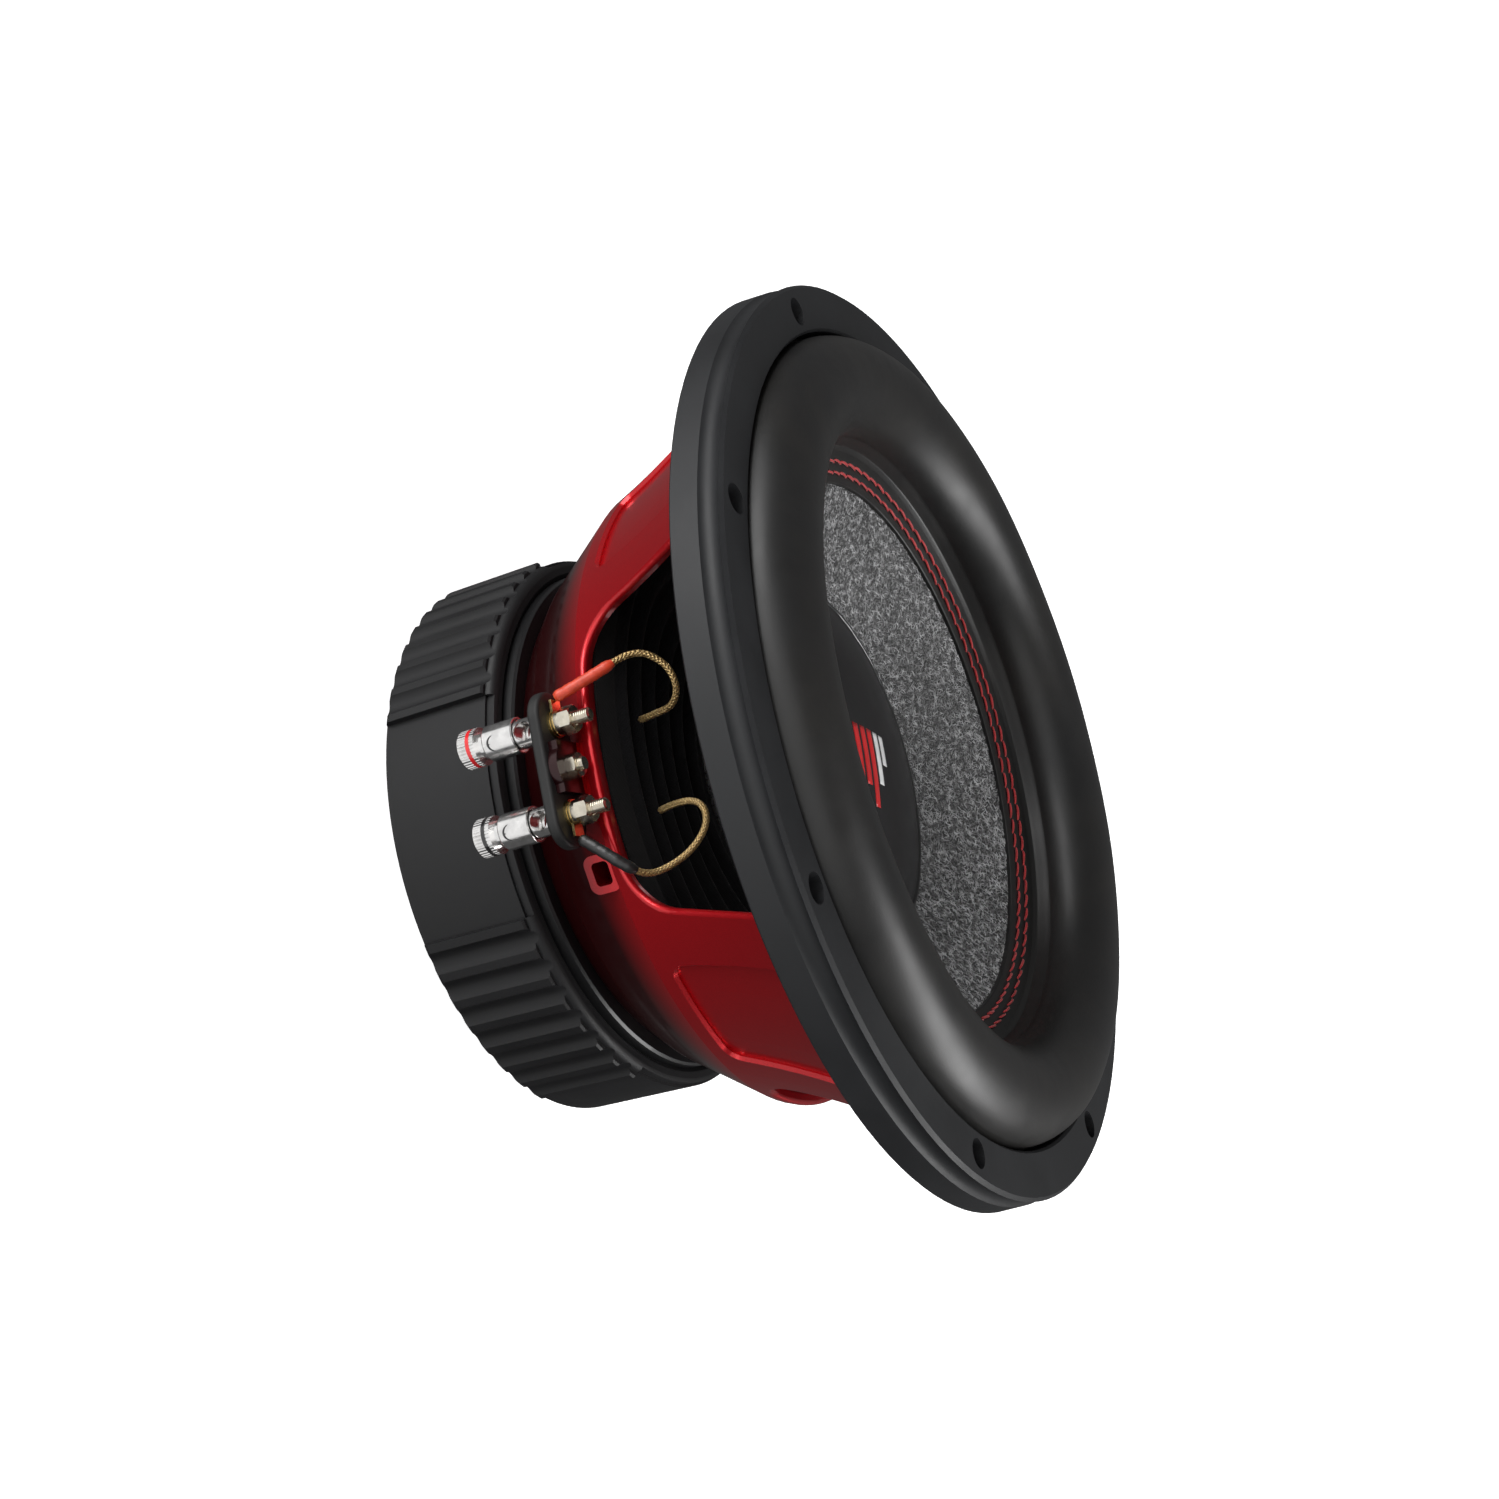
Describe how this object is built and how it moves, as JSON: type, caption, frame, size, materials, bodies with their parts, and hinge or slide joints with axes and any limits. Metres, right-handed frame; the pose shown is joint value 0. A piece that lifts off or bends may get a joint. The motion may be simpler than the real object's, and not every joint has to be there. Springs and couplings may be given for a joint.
{
  "type": "car subwoofer speaker",
  "caption": "Round car subwoofer driver with cast basket, moving cone, ribbed magnet boot and spring-loaded wire terminals.",
  "frame": {"origin": "centre of the mounting flange's rear face, on the speaker's axis", "axes": "+Z along the speaker's axis, out of the cone; the wire terminals are on the -Y side; the speaker stands on its boot with the cone up"},
  "size_m": [0.314, 0.314, 0.1732],
  "materials": {
    "red_paint": "glossy metallic red, as a lacquered casting",
    "gasket_rubber": "matte black moulded rubber",
    "black_plate": "gloss black coated steel",
    "ferrite": "dark grey ceramic, dull",
    "steel": "plain machined steel",
    "boot_rubber": "matte black soft rubber",
    "screw_steel": "black oxide steel",
    "former": "satin aluminium",
    "winding": "enamelled copper wire",
    "cone_fibre": "black pulp speckled with pale fibres, matte",
    "cap_black": "satin black",
    "surround_foam": "matte black",
    "red_thread": "red twisted thread",
    "spider_cloth": "black resin-dipped woven cloth",
    "board_black": "black fibre board",
    "chrome": "polished nickel plate",
    "nickel": "bright nickel plate",
    "brass_plate": "bright brass plate",
    "ring_red": "glossy red",
    "ring_black": "glossy black",
    "shrink_red": "red shrunk tube",
    "shrink_black": "black shrunk tube",
    "braid": "braided tinned copper, gold coloured",
    "spring_steel": "bright spring wire"
  },
  "bodies": {
    "frame": {"basket": "red_paint", "gasket": "gasket_rubber", "top_plate": "black_plate", "magnet": "ferrite", "yoke": "steel", "magnet_boot": "boot_rubber", "motor_screws": "screw_steel", "terminal_board": "board_black", "board_screw": "nickel", "board_nut": "nickel", "positive_post": "chrome", "positive_sleeve": "chrome", "positive_spring": "spring_steel", "positive_washer": "brass_plate", "positive_lug": "brass_plate", "positive_nut": "nickel", "positive_heat_shrink": "shrink_red", "positive_lead": "braid", "negative_post": "chrome", "negative_sleeve": "chrome", "negative_spring": "spring_steel", "negative_washer": "brass_plate", "negative_lug": "brass_plate", "negative_nut": "nickel", "negative_heat_shrink": "shrink_black", "negative_lead": "braid"},
    "cone_assembly": {"cone": "cone_fibre", "dust_cap": "cap_black", "coil_former": "former", "voice_coil": "winding", "stitching_outer": "red_thread", "stitching_inner": "red_thread", "surround": "surround_foam", "spider": "spider_cloth"},
    "positive_button": {"positive_push_cap": "chrome", "positive_colour_ring": "ring_red"},
    "negative_button": {"negative_push_cap": "chrome", "negative_colour_ring": "ring_black"}
  },
  "joints": [
    {"name": "cone_travel", "type": "slide", "parent": "frame", "child": "cone_assembly", "axis": [0, 0, 1], "range_m": [-0.012, 0.012], "stiffness_N_per_m": 5000, "deforming": ["surround", "spider", "positive_lead", "negative_lead"]},
    {"name": "positive_push", "type": "slide", "parent": "frame", "child": "positive_button", "axis": [0, 0, 1], "range_m": [0, 0.0025], "stiffness_N_per_m": 800, "springref_m": -0.001, "deforming": ["positive_spring"]},
    {"name": "negative_push", "type": "slide", "parent": "frame", "child": "negative_button", "axis": [0, 0, 1], "range_m": [0, 0.0025], "stiffness_N_per_m": 800, "springref_m": -0.001, "deforming": ["negative_spring"]}
  ]
}
